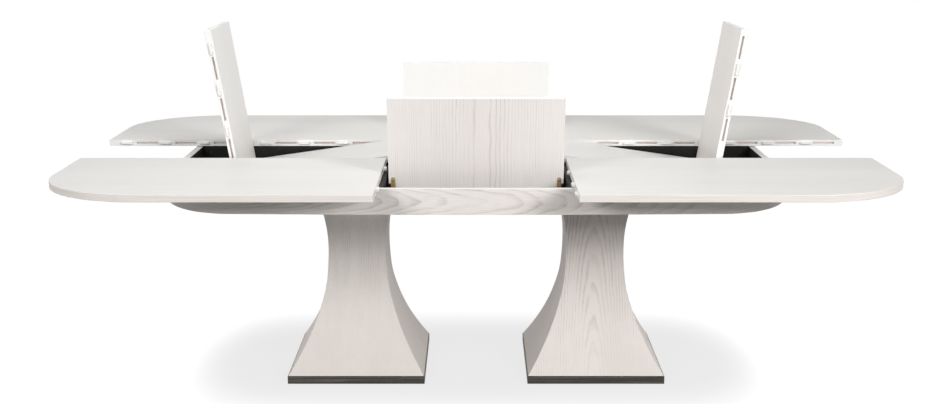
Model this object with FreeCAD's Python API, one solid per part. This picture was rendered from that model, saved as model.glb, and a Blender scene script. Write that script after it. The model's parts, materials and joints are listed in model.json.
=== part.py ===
import FreeCAD, Part
import math
import os

V = FreeCAD.Vector
os.makedirs("parts", exist_ok=True)

# Overall sizes
top_height = 762.0
top_thickness = 22.0
quad_length = 1003.0
quad_width = 568.0
side_leaf_width = 315.0
end_leaf_width = 538.0
open_slack_x = 25.5
open_slack_y = 14.5
corner_sweep_x = 330.0
corner_sweep_y = 290.0
edge_round = 1.5
seam = 0.5
overrun = 5.0

# Loose tongues and the slots they enter
tab_length = 42.0
tab_height = 6.0
tab_reach = 9.0
tab_seat = 11.0
tab_round = 8.0
slot_length = 74.0
slot_height = 7.0
slot_depth = 11.0
slot_shift = 4.0
first_tab = 62.0
half_pitch = 68.0
end_margin = 50.0
fold_clear = 60.0
inner_clear = 120.0
leaf_tab_clear = 100.0

# Folding leaves
side_outer_share = 0.4905
end_outer_share = 0.5563
fold_gap = 0.25
fold_axis_depth = 2.0
fold_rebate_width = 3.0
fold_rebate_extra = 0.3
side_lean_angle = 8.9
end_lean_angle = 9.5
pivot_depth = 36.0
side_pivot_inset = 52.0
end_pivot_inset = 40.0
pivot_radius = 5.0
pivot_fit = 0.3
pivot_bearing_length = 6.5
lug_length = 24.0
lug_width = 16.0
lug_inset = 48.0
lug_below = 5.0

# Fold hinges
hinge_width = 14.0
hinge_inset = 13.5
hinge_leg_length = 62.0
hinge_end_round = 6.8
hinge_leg_thickness = 3.0
hinge_plate_thickness = 1.5
knuckle_radius = 2.0
knuckle_fit = 0.3
knuckle_share = 0.3
knuckle_room = 0.6
pin_radius = 0.8
hinge_screw_radius = 3.2
hinge_screw_proud = 0.8
hinge_screw_shares = (0.42, 0.86)

# Apron box
end_overhang = 13.0
side_overhang = 35.0
apron_bow = 12.0
apron_corner_x = 250.0
apron_corner_y = 300.0
apron_wall = 22.0
apron_height = 79.0
top_clearance = 3.0
floor_thickness = 12.0
trough_play = 14.0
partition_thickness = 12.0
pad_height = 4.0
pad_length = 40.0
pad_width = 30.0
pad_gap = 0.2
pad_inset = 60.0
bearer_thickness = 20.0
bearer_spread = 200.0
bearer_inset = 18.0
wall_screw_radius = 3.2
wall_screw_head = 2.0
wall_screw_drop = 20.0
wall_screw_shares = (0.2, 0.957)

# Slides in the four corners of the box
stem_width = 10.0
stem_height = 8.0
head_width = 22.0
head_height = 8.0
slide_fit = 0.6
slide_lip = 5.0
slide_wall = 6.0
slide_cap = 5.5
carriage_plate = 8.0
rail_start_room = 15.0
rail_end_room = 110.0
rail_near_room = 31.5
rail_far_room = 108.0
carriage_length = 240.0
carriage_end_room = 30.0
carriage_near_lap = 23.0
carriage_far_lap = 31.0
cross_inset = 50.0
runner_length = 90.0
runner_setback = 4.0

# Pedestals
pedestal_spread = 403.0
plinth_side = 460.0
plinth_height = 27.0
foot_half = 228.0
panel_thickness = 18.0
profile_height_shares = (0.0, 0.0983, 0.2044, 0.2821, 0.3629, 0.4374, 0.5151,
                         0.5848, 0.6498, 0.7179, 0.7813, 0.8415, 0.9239, 1.0)
profile_half_shares = (1.0, 0.8333, 0.6842, 0.5965, 0.5241, 0.4715, 0.443,
                       0.4298, 0.4254, 0.432, 0.4518, 0.4825, 0.5439, 0.6228)
post_side = 110.0
post_wall = 14.0
cap_side = 190.0
cap_thickness = 18.0
rod_radius = 6.0
rod_fit = 0.5
nut_width = 19.0
nut_height = 8.0
nut_room = 2.0
nut_inset = 2.0
cap_screw_radius = 5.0
cap_screw_head = 3.0
cap_screw_spread = 70.0

# Levels and places that follow from the sizes above
top_under = top_height - top_thickness
mid_height = top_height - top_thickness / 2
apron_top = top_under - top_clearance
apron_bottom = apron_top - apron_height
apron_half_length = quad_length - end_overhang
apron_half_width = quad_width - side_overhang
floor_top = apron_bottom + floor_thickness
side_outer_half = quad_length * side_outer_share
end_outer_half = quad_width * end_outer_share
fold_axis_z = top_height - fold_axis_depth
pivot_z = top_height - pivot_depth
side_trough = side_leaf_width / 2 + trough_play
end_trough = end_leaf_width / 2 + trough_play
quad_x = end_leaf_width / 2 + open_slack_x
quad_y = side_leaf_width / 2 + open_slack_y
rail_inner_x = end_trough + partition_thickness + rail_start_room
rail_outer_x = apron_half_length - rail_end_room
rail_near_y = side_trough + partition_thickness + rail_near_room
rail_far_y = apron_half_width - rail_far_room
carriage_outer_x = rail_outer_x - carriage_end_room
carriage_inner_x = carriage_outer_x - carriage_length
carriage_near_y = rail_near_y - carriage_near_lap
carriage_far_y = rail_far_y + carriage_far_lap
cross_near_x = carriage_inner_x + cross_inset
cross_far_x = carriage_outer_x - cross_inset
runner_far_y = carriage_far_y - runner_setback
runner_near_y = runner_far_y - runner_length
cross_z = floor_top + stem_height + head_height + slide_cap + carriage_plate
corners = {"fl": (-1, -1), "fr": (1, -1), "rl": (-1, 1), "rr": (1, 1)}


def block(x0, x1, y0, y1, z0, z1):
    return Part.makeBox(x1 - x0, y1 - y0, z1 - z0, V(x0, y0, z0))


def place(shape, sx, sy):
    # Carry a piece drawn in the +X +Y corner into another corner
    if sx < 0:
        shape = shape.mirror(V(0, 0, 0), V(1, 0, 0))
    if sy < 0:
        shape = shape.mirror(V(0, 0, 0), V(0, 1, 0))
    return shape


def turned(shape, centre, axis, angle):
    copy = shape.copy()
    copy.rotate(centre, axis, angle)
    return copy


def group(solids):
    return Part.makeCompound(solids)


def save(name, shape):
    shape.exportStep("parts/" + name + ".step")


def sweep_corner(cx, cy, rx, ry, sx, sy):
    # Quarter oval from the end side to the long side, as one smooth curve
    steps = 8
    points = []
    for i in range(steps + 1):
        angle = math.pi / 2 * i / steps
        points.append(V(sx * (cx + rx * math.cos(angle)), sy * (cy + ry * math.sin(angle)), 0))
    curve = Part.BSplineCurve()
    curve.interpolate(Points=points, InitialTangent=V(0, sy, 0), FinalTangent=V(-sx, 0, 0))
    return curve.toShape()


def prism(edges, z0, z1):
    wire = Part.Wire(Part.__sortEdges__(edges))
    wire.translate(V(0, 0, z0))
    return Part.Face(wire).extrude(V(0, 0, z1 - z0))


# Joint pattern along a mating edge, measured from the outer end
def half_pattern(start, length):
    marks = []
    mark = first_tab
    while mark <= length - end_margin:
        marks.append(start + mark)
        mark += half_pitch
    return marks


def edge_marks(outer_half, total, phase):
    tabs = []
    slots = []
    for start, length in ((0, outer_half), (outer_half, total - outer_half)):
        for i, mark in enumerate(half_pattern(start, length)):
            if (i + phase) % 2 == 0:
                tabs.append(mark)
            else:
                slots.append(mark)
    return tabs, slots


def along_x_piece(mark, edge, length, y0, y1, height):
    return block(edge - mark - length / 2, edge - mark + length / 2, y0, y1,
                 mid_height - height / 2, mid_height + height / 2)


def along_y_piece(mark, edge, length, x0, x1, height):
    return block(x0, x1, edge - mark - length / 2, edge - mark + length / 2,
                 mid_height - height / 2, mid_height + height / 2)


def tongue(piece, axis, tip):
    # Round the two leading corners of a loose tongue
    corners_ahead = [e for e in piece.Edges
                     if e.BoundBox.ZLength > seam and abs(getattr(e.CenterOfMass, axis) - tip) < seam]
    return piece.makeFillet(tab_round, corners_ahead)


# Quarter of the table top, drawn in the +X +Y corner
def quad_blank():
    x1 = quad_x + quad_length
    y1 = quad_y + quad_width
    bend_x = x1 - corner_sweep_x
    bend_y = y1 - corner_sweep_y
    edges = [Part.makeLine(V(quad_x, quad_y, 0), V(x1, quad_y, 0)),
             Part.makeLine(V(x1, quad_y, 0), V(x1, bend_y, 0)),
             sweep_corner(bend_x, bend_y, corner_sweep_x, corner_sweep_y, 1, 1),
             Part.makeLine(V(bend_x, y1, 0), V(quad_x, y1, 0)),
             Part.makeLine(V(quad_x, y1, 0), V(quad_x, quad_y, 0))]
    slab = prism(edges, top_under, top_height)
    rims = [e for e in slab.Edges
            if e.BoundBox.ZLength < seam
            and e.CenterOfMass.x > quad_x + seam and e.CenterOfMass.y > quad_y + seam]
    return slab.makeFillet(edge_round, rims)


def quad_tabs(phase):
    x1 = quad_x + quad_length
    y1 = quad_y + quad_width
    found = []
    for mark in edge_marks(side_outer_half, quad_length, phase)[0]:
        if abs(mark - side_outer_half) >= fold_clear and quad_length - mark >= inner_clear:
            piece = along_x_piece(mark, x1, tab_length, quad_y - tab_reach, quad_y + tab_seat, tab_height)
            found.append(tongue(piece, "y", quad_y - tab_reach))
    for mark in edge_marks(end_outer_half, quad_width, phase)[0]:
        if abs(mark - end_outer_half) >= fold_clear and quad_width - mark >= inner_clear:
            piece = along_y_piece(mark, y1, tab_length, quad_x - tab_reach, quad_x + tab_seat, tab_height)
            found.append(tongue(piece, "x", quad_x - tab_reach))
    return found


def quad_slots(phase):
    x1 = quad_x + quad_length - slot_shift
    y1 = quad_y + quad_width - slot_shift
    found = []
    for mark in edge_marks(side_outer_half, quad_length, phase)[1]:
        found.append(along_x_piece(mark, x1, slot_length, quad_y - overrun,
                                   quad_y + slot_depth, slot_height))
    for mark in edge_marks(end_outer_half, quad_width, phase)[1]:
        found.append(along_y_piece(mark, y1, slot_length, quad_x - overrun,
                                   quad_x + slot_depth, slot_height))
    return found


def build_quads():
    for name, (sx, sy) in corners.items():
        phase = 1 if sx == sy else 0
        tabs = quad_tabs(phase)
        slab = quad_blank().cut(tabs + quad_slots(phase))
        save("top_" + name, place(slab, sx, sy))
        save("tongues_" + name, place(group(tabs), sx, sy))


# Slides: tee rails captured by lipped runners
def bar(axis, centre, a0, a1, half, z0, z1):
    if axis == "x":
        return block(a0, a1, centre - half, centre + half, z0, z1)
    return block(centre - half, centre + half, a0, a1, z0, z1)


def tee_rail(axis, centre, a0, a1, z0):
    neck = z0 + stem_height
    stem = bar(axis, centre, a0, a1, stem_width / 2, z0, neck)
    return stem.fuse(bar(axis, centre, a0, a1, head_width / 2, neck, neck + head_height))


def runner(axis, centre, a0, a1, z0, z1):
    neck = z0 + stem_height
    inner = head_width / 2 + slide_fit
    body = bar(axis, centre, a0, a1, inner + slide_wall, neck - slide_fit - slide_lip, z1)
    hollow = bar(axis, centre, a0 - overrun, a1 + overrun, inner, neck - slide_fit, neck + head_height)
    mouth = bar(axis, centre, a0 - overrun, a1 + overrun, stem_width / 2 + slide_fit, z0, neck)
    return body.cut([hollow, mouth])


def carriage():
    plate_z = cross_z - carriage_plate
    body = block(carriage_inner_x, carriage_outer_x, carriage_near_y, carriage_far_y, plate_z, cross_z)
    pieces = []
    for y in (rail_near_y, rail_far_y):
        pieces.append(runner("x", y, carriage_inner_x, carriage_outer_x, floor_top, plate_z))
    for x in (cross_near_x, cross_far_x):
        pieces.append(tee_rail("y", x, carriage_near_y, carriage_far_y, cross_z))
    return body.fuse(pieces).removeSplitter()


def build_slides():
    rails = []
    for name, (sx, sy) in corners.items():
        for y in (rail_near_y, rail_far_y):
            rails.append(place(tee_rail("x", y, rail_inner_x, rail_outer_x, floor_top), sx, sy))
        save("carriage_" + name, place(carriage(), sx, sy))
        feet = []
        for x in (cross_near_x, cross_far_x):
            feet.append(runner("y", x, runner_near_y, runner_far_y, cross_z, top_under))
        save("runners_" + name, place(group(feet), sx, sy))
    save("slide_rails", group(rails))


# Apron box with its bowed long sides and oval corners
def plan_edges(inset):
    hx = apron_half_length - inset
    hy = apron_half_width - inset
    rx = apron_corner_x - inset
    ry = apron_corner_y - inset
    edges = []
    for sx in (-1, 1):
        for sy in (-1, 1):
            edges.append(sweep_corner(hx - rx, hy - ry, rx, ry, sx, sy))
        edges.append(Part.makeLine(V(sx * hx, ry - hy, 0), V(sx * hx, hy - ry, 0)))
    for sy in (-1, 1):
        crown = V(0, sy * (hy + apron_bow), 0)
        edges.append(Part.Arc(V(rx - hx, sy * hy, 0), crown, V(hx - rx, sy * hy, 0)).toShape())
    return edges


def build_apron():
    ring = prism(plan_edges(0), apron_bottom, apron_top).cut(
        prism(plan_edges(apron_wall), apron_bottom - overrun, apron_top + overrun))
    joint = apron_half_length - apron_corner_x
    far = apron_half_length + overrun
    wide = apron_half_width + apron_bow + overrun
    low = apron_bottom - overrun
    high = apron_top + overrun
    for name, sx in (("apron_left", -1), ("apron_right", 1)):
        x0, x1 = sorted((sx * joint, sx * far))
        save(name, ring.common(block(x0, x1, -wide, wide, low, high)))
    for name, sy in (("apron_front", -1), ("apron_rear", 1)):
        y0, y1 = sorted((0, sy * wide))
        save(name, ring.common(block(-joint, joint, y0, y1, low, high)))
    save("well_floor", prism(plan_edges(apron_wall), apron_bottom, floor_top))


def rod_notch(x, y, along, half_run):
    # Open-topped notch with a round bottom for one end of a pivot rod
    radius = pivot_radius + pivot_fit
    if along == "y":
        cyl = Part.makeCylinder(radius, half_run, V(x, y, pivot_z), V(0, 1, 0))
        return cyl.fuse(block(x - radius, x + radius, y, y + half_run, pivot_z, apron_top + overrun))
    cyl = Part.makeCylinder(radius, half_run, V(x, y, pivot_z), V(1, 0, 0))
    return cyl.fuse(block(x, x + half_run, y - radius, y + radius, pivot_z, apron_top + overrun))


def partition():
    # Angle-shaped wall round the inner corner of one slide box, drawn in the +X +Y corner
    inside = prism(plan_edges(apron_wall), floor_top, apron_top)
    outer = block(end_trough, apron_half_length, side_trough, apron_half_width + apron_bow,
                  floor_top, apron_top)
    hollow = block(end_trough + partition_thickness, apron_half_length,
                   side_trough + partition_thickness, apron_half_width + apron_bow,
                   floor_top, apron_top)
    wall = outer.common(inside).cut(hollow)
    run = pivot_bearing_length + pivot_fit + overrun
    side_x = end_leaf_width / 2 + side_pivot_inset
    end_y = side_leaf_width / 2 + end_pivot_inset
    side_notch = rod_notch(side_x, side_trough - overrun, "y", run)
    end_notch = rod_notch(end_trough - overrun, end_y, "x", run)
    return wall.cut([side_notch, end_notch])


def wall_screws():
    run = apron_half_length - apron_wall - end_trough
    heads = []
    for share in wall_screw_shares:
        at = V(end_trough + run * share, side_trough - wall_screw_head, apron_top - wall_screw_drop)
        heads.append(Part.makeCylinder(wall_screw_radius, wall_screw_head, at, V(0, 1, 0)))
    return heads


def build_partitions():
    screws = []
    for sx, sy in corners.values():
        screws += [place(s, sx, sy) for s in wall_screws()]
    save("partitions", group([place(partition(), sx, sy) for sx, sy in corners.values()]))
    return screws


def build_centre():
    x = end_leaf_width / 2 - seam
    y = side_leaf_width / 2 - seam
    save("centre_panel", block(-x, x, -y, y, top_under, top_height))
    bearers = []
    for sx in (-1, 1):
        c = sx * bearer_spread
        bearers.append(block(c - bearer_thickness / 2, c + bearer_thickness / 2,
                             bearer_inset - y, y - bearer_inset, floor_top, top_under))
    save("centre_bearers", group(bearers))


# Folding leaves, drawn flat and reaching out along +X from the centre
class Leaf:
    def __init__(self, start, width, total, outer_half, lean, inset, phase, tongued):
        self.start = start
        self.half = width / 2
        self.end = start + total
        self.fold = start + total - outer_half
        self.outer_half = outer_half
        self.total = total
        self.phase = phase
        self.tongued = tongued
        self.pivot = start + inset
        self.rod_half = self.half + trough_play + pivot_bearing_length
        reach = self.fold - fold_gap - self.pivot
        rise = top_under - pivot_z
        down = pivot_z - floor_top - pad_height - pad_gap
        self.dip = math.degrees(math.asin(down / math.hypot(reach, rise)) + math.atan2(rise, reach))
        self.bend = 90 - lean + self.dip

    def lower(self, shape):
        return turned(shape, V(self.pivot, 0, pivot_z), V(0, 1, 0), self.dip)

    def raise_outer(self, shape):
        up = turned(shape, V(self.fold, 0, fold_axis_z), V(0, -1, 0), self.bend)
        return self.lower(up)

    def marks(self, side):
        phase = self.phase if side > 0 else 1 - self.phase
        return edge_marks(self.outer_half, self.total, phase)

    def slots(self):
        found = []
        for side in (-1, 1):
            y0, y1 = sorted((side * (self.half - slot_depth), side * (self.half + overrun)))
            for mark in self.marks(side)[1]:
                found.append(along_x_piece(mark, self.end + slot_shift, slot_length, y0, y1, slot_height))
        return found

    def tabs(self):
        found = []
        for side in (-1, 1):
            y0, y1 = sorted((side * (self.half - tab_seat), side * (self.half + tab_reach)))
            for mark in self.marks(side)[0]:
                if self.tongued and self.outer_half - mark >= leaf_tab_clear:
                    piece = along_x_piece(mark, self.end, tab_length, y0, y1, tab_height)
                    found.append(tongue(piece, "y", side * (self.half + tab_reach)))
        return found

    def hinge_places(self):
        return [side * (self.half - hinge_inset) for side in (-1, 1)]


def hinge_leaf(leaf, y, sx):
    # Wrap-round strap on one side of the fold: end plate and leg along the underside
    face = leaf.fold + sx * fold_gap
    y0 = y - hinge_width / 2
    y1 = y + hinge_width / 2
    x0, x1 = sorted((face, face + sx * hinge_plate_thickness))
    plate = block(x0, x1, y0, y1, top_under, fold_axis_z - knuckle_radius - knuckle_fit)
    tip = face + sx * hinge_leg_length
    x0, x1 = sorted((face, tip))
    leg = block(x0, x1, y0, y1, top_under, top_under + hinge_leg_thickness)
    ends = [e for e in leg.Edges
            if e.BoundBox.ZLength > seam and abs(e.CenterOfMass.x - tip) < seam]
    return plate.fuse(leg.makeFillet(hinge_end_round, ends))


def knuckle(leaf, y0, y1, sx):
    # Barrel segment on the fold line with the web that ties it to its own end plate
    barrel = Part.makeCylinder(knuckle_radius, y1 - y0, V(leaf.fold, y0, fold_axis_z), V(0, 1, 0))
    face = leaf.fold + sx * fold_gap
    x0, x1 = sorted((face, face + sx * hinge_plate_thickness))
    web = block(x0, x1, y0, y1, fold_axis_z - knuckle_radius - hinge_leg_thickness, fold_axis_z)
    return barrel.fuse(web)


def inner_strap(leaf, y):
    end = knuckle_share * hinge_width
    y0 = y - hinge_width / 2
    y1 = y + hinge_width / 2
    pin = Part.makeCylinder(pin_radius, hinge_width, V(leaf.fold, y0, fold_axis_z), V(0, 1, 0))
    pieces = [knuckle(leaf, y0, y0 + end, -1), knuckle(leaf, y1 - end, y1, -1), pin]
    return hinge_leaf(leaf, y, -1).fuse(pieces)


def outer_strap(leaf, y):
    end = knuckle_share * hinge_width + knuckle_fit
    y0 = y - hinge_width / 2
    y1 = y + hinge_width / 2
    start = V(leaf.fold, y0, fold_axis_z)
    bore = Part.makeCylinder(pin_radius + knuckle_fit, hinge_width, start, V(0, 1, 0))
    return hinge_leaf(leaf, y, 1).fuse(knuckle(leaf, y0 + end, y1 - end, 1)).cut(bore)


def strap_screws(leaf, y, sx):
    heads = []
    for share in hinge_screw_shares:
        x = leaf.fold + sx * hinge_leg_length * share
        at = V(x, y, top_under - hinge_screw_proud)
        heads.append(Part.makeCylinder(hinge_screw_radius, hinge_screw_proud, at))
    return heads


def strap_seat(leaf, y, sx):
    # Room in a leaf half for its strap and for the turning barrels
    half = hinge_width / 2 + knuckle_room
    face = leaf.fold
    x0, x1 = sorted((face - sx * overrun, face + sx * (knuckle_radius + knuckle_room)))
    cove = block(x0, x1, y - half, y + half, fold_axis_z - knuckle_radius - hinge_leg_thickness,
                 top_height + overrun)
    return cove.fuse(hinge_leaf(leaf, y, sx))


def inner_half(leaf):
    body = block(leaf.start, leaf.fold - fold_gap, -leaf.half, leaf.half, top_under, top_height)
    rebate = block(leaf.fold - fold_rebate_width, leaf.fold, -leaf.half - overrun, leaf.half + overrun,
                   fold_axis_z - fold_rebate_extra, top_height + overrun)
    seats = [strap_seat(leaf, y, -1) for y in leaf.hinge_places()]
    return body.cut(seats + [rebate] + leaf.slots())


def outer_half(leaf):
    body = block(leaf.fold + fold_gap, leaf.end, -leaf.half, leaf.half, top_under, top_height)
    rims = [e for e in body.Edges
            if e.BoundBox.YLength > leaf.half and e.CenterOfMass.x > leaf.end - seam]
    body = body.makeFillet(edge_round, rims)
    seats = [strap_seat(leaf, y, 1) for y in leaf.hinge_places()]
    return body.cut(seats + leaf.tabs() + leaf.slots())


def pivot_bar(leaf):
    start = V(leaf.pivot, -leaf.rod_half, pivot_z)
    rod = Part.makeCylinder(pivot_radius, 2 * leaf.rod_half, start, V(0, 1, 0))
    low = pivot_z - pivot_radius - lug_below
    lugs = []
    for side in (-1, 1):
        y = side * (leaf.half - lug_inset)
        lugs.append(block(leaf.pivot - lug_length / 2, leaf.pivot + lug_length / 2,
                          y - lug_width / 2, y + lug_width / 2, low, top_under))
    return rod.fuse(lugs)


def build_leaf(name, leaf, heading):
    def set_down(shape):
        return turned(shape, V(0, 0, 0), V(0, 0, 1), heading)

    inner_straps = []
    outer_straps = []
    for y in leaf.hinge_places():
        inner_straps += [inner_strap(leaf, y)]
        outer_straps += [outer_strap(leaf, y)] + strap_screws(leaf, y, 1)
    save("leaf_inner_" + name, set_down(leaf.lower(inner_half(leaf))))
    save("leaf_outer_" + name, set_down(leaf.raise_outer(outer_half(leaf))))
    save("strap_inner_" + name, set_down(leaf.lower(group(inner_straps))))
    save("strap_outer_" + name, set_down(leaf.raise_outer(group(outer_straps))))
    if leaf.tongued:
        save("tongues_leaf_" + name, set_down(leaf.raise_outer(group(leaf.tabs()))))
    save("pivot_" + name, set_down(leaf.lower(pivot_bar(leaf))))


def rest_pads(leaf, heading):
    # Low pads on the well floor that carry the fold end of a lowered leaf
    corner = leaf.lower(Part.Vertex(leaf.fold - fold_gap, 0, top_under)).Point
    pads = []
    for side in (-1, 1):
        y = side * (leaf.half - pad_inset)
        pads.append(block(corner.x - pad_length, corner.x, y - pad_width / 2, y + pad_width / 2,
                          floor_top, floor_top + pad_height))
    return [turned(p, V(0, 0, 0), V(0, 0, 1), heading) for p in pads]


def build_leaves():
    side = Leaf(end_leaf_width / 2, side_leaf_width, quad_length, side_outer_half, side_lean_angle,
                side_pivot_inset, 0, True)
    end = Leaf(side_leaf_width / 2, end_leaf_width, quad_width, end_outer_half, end_lean_angle,
               end_pivot_inset, 1, False)
    pads = []
    order = (("right", side, 0), ("rear", end, 90), ("left", side, 180), ("front", end, 270))
    for name, leaf, heading in order:
        build_leaf(name, leaf, heading)
        pads += rest_pads(leaf, heading)
    save("rest_pads", group(pads))


# Pedestals of four mitred curved panels on a dark plinth
def profile(inset):
    height = apron_bottom - plinth_height
    points = []
    for up, out in zip(profile_height_shares, profile_half_shares):
        points.append(V(0, inset - foot_half * out, plinth_height + height * up))
    curve = Part.BSplineCurve()
    curve.interpolate(points)
    return curve.toShape(), points[0], points[-1]


def panel():
    outer, out_low, out_high = profile(0)
    inner, in_low, in_high = profile(panel_thickness)
    edges = [outer, Part.makeLine(out_high, in_high), inner, Part.makeLine(in_low, out_low)]
    face = Part.Face(Part.Wire(Part.__sortEdges__(edges)))
    face.translate(V(-foot_half - overrun, 0, 0))
    strip = face.extrude(V(2 * (foot_half + overrun), 0, 0))
    far = foot_half + overrun
    corner_points = [V(0, 0, 0), V(-far, -far, 0), V(far, -far, 0), V(0, 0, 0)]
    wedge = Part.Face(Part.makePolygon(corner_points)).extrude(V(0, 0, apron_bottom))
    return strip.common(wedge)


def hex_nut(z0):
    points = []
    for i in range(7):
        angle = math.pi / 3 * i
        points.append(V(nut_width / 2 * math.cos(angle), nut_width / 2 * math.sin(angle), z0))
    return Part.Face(Part.makePolygon(points)).extrude(V(0, 0, nut_height))


def plinth():
    side = plinth_side / 2
    body = block(-side, side, -side, side, 0, plinth_height)
    hole = Part.makeCylinder(rod_radius + rod_fit, plinth_height)
    room = Part.makeCylinder(nut_width / 2 + nut_room, nut_inset + nut_height)
    rims = [e for e in body.Edges if e.CenterOfMass.z > plinth_height - seam]
    return body.makeChamfer(edge_round, rims).cut([hole, room])


def post():
    side = post_side / 2
    high = apron_bottom - cap_thickness
    core = side - post_wall
    return block(-side, side, -side, side, plinth_height, high).cut(
        block(-core, core, -core, core, plinth_height, high))


def cap():
    side = cap_side / 2
    low = apron_bottom - cap_thickness
    body = block(-side, side, -side, side, low, apron_bottom)
    hole = Part.makeCylinder(rod_radius + rod_fit, cap_thickness, V(0, 0, low))
    depth = nut_inset + nut_height
    room = Part.makeCylinder(nut_width / 2 + nut_room, depth, V(0, 0, apron_bottom - depth))
    return body.cut([hole, room])


def tie_rod():
    high = apron_bottom - nut_inset
    rod = Part.makeCylinder(rod_radius, high - nut_inset, V(0, 0, nut_inset))
    return rod.fuse([hex_nut(nut_inset), hex_nut(high - nut_height)])


def cap_screws():
    heads = []
    for sx, sy in corners.values():
        at = V(sx * cap_screw_spread, sy * cap_screw_spread, floor_top)
        heads.append(Part.makeCylinder(cap_screw_radius, cap_screw_head, at))
    return heads


def build_pedestals():
    posts = []
    caps = []
    rods = []
    screws = []
    for name, sx in (("left", -1), ("right", 1)):
        shift = V(sx * pedestal_spread, 0, 0)
        for pair, turns in (("faces", (0, 180)), ("flanks", (90, 270))):
            panels = [turned(panel(), V(0, 0, 0), V(0, 0, 1), turn).translated(shift) for turn in turns]
            save("panel_" + pair + "_" + name, group(panels))
        save("plinth_" + name, plinth().translated(shift))
        posts.append(post().translated(shift))
        caps.append(cap().translated(shift))
        rods.append(tie_rod().translated(shift))
        screws += [s.translated(shift) for s in cap_screws()]
    save("posts", group(posts))
    save("caps", group(caps))
    save("tie_rods", group(rods))
    return screws


build_quads()
build_slides()
build_apron()
build_centre()
build_leaves()
save("pan_screws", group(build_partitions() + build_pedestals()))
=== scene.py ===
# %% [markdown]
# # A four-way extending dining table
# The solids come from a CAD model that is already right in size and in its joints.
# In Blender we keep them where they are and give them what CAD lacks: wood grain, worn rims (on the
# top with a painted highlight), metal that has been handled, small fittings, and the light and
# camera of a catalogue picture.

# %% Load the table as a fixed frame
import bpy
import bmesh
import json
import math
from mathutils import Matrix, Vector


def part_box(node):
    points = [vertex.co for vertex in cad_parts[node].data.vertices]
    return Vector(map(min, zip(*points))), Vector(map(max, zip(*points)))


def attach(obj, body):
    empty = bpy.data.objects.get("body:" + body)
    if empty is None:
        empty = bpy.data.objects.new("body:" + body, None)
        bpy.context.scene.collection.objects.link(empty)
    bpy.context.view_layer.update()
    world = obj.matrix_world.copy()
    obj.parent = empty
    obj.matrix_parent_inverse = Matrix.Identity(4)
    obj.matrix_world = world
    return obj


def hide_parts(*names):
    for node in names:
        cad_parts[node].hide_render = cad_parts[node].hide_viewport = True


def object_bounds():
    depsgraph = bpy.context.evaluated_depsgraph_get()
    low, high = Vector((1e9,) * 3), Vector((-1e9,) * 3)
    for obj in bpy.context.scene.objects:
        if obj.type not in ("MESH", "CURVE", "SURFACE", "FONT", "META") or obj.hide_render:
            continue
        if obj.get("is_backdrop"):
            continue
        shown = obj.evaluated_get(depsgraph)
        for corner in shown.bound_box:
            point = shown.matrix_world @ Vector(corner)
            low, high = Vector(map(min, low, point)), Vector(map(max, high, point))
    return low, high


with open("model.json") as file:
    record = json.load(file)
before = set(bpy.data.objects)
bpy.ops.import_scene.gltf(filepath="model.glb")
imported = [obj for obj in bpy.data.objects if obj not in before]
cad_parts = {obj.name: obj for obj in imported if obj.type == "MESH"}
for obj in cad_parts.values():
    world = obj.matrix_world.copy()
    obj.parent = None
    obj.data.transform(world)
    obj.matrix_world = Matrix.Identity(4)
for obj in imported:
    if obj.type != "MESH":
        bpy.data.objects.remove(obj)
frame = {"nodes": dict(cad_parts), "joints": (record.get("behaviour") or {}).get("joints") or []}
nodes = frame["nodes"]
joints = {joint["name"]: joint for joint in frame["joints"]}
cad_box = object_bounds()
scene = bpy.context.scene
print("solids:", len(nodes), "size:", [round(b - a, 3) for a, b in zip(*cad_box)])

# %% [markdown]
# ## Camera
# The picture was taken from in front, a little above eye level for someone seated, with a short
# telephoto lens. Lens, height and tilt were worked out by matching corners of the table top and of
# the two plinths, so the camera is typed in as numbers. Pointing it at a target would be easier to
# read, but it would lose the last degree of tilt.

# %% Set the camera
camera_data = bpy.data.cameras.new("front_camera")
camera_data.sensor_width = 36.0
camera_data.lens = 48.43
camera = bpy.data.objects.new("front_camera", camera_data)
camera.location = (-0.0035, -4.2897, 1.5411)
camera_tilt = 77.31
camera.rotation_euler = (math.radians(camera_tilt), 0.0, 0.0)
scene.collection.objects.link(camera)
scene.camera = camera
scene.view_settings.view_transform = "Standard"
print("lens:", round(camera_data.lens, 2), "mm")
print("looking down by", round(90 - camera_tilt, 2), "degrees")

# %% [markdown]
# ## Wires that can be added and multiplied
# A procedural finish is mostly arithmetic, and arithmetic is easier to read as a formula than as a
# row of boxes. This small class holds one output socket. Adding or multiplying two of them places
# the Math node and returns its output, so a grain pattern becomes a line of Python.

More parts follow.
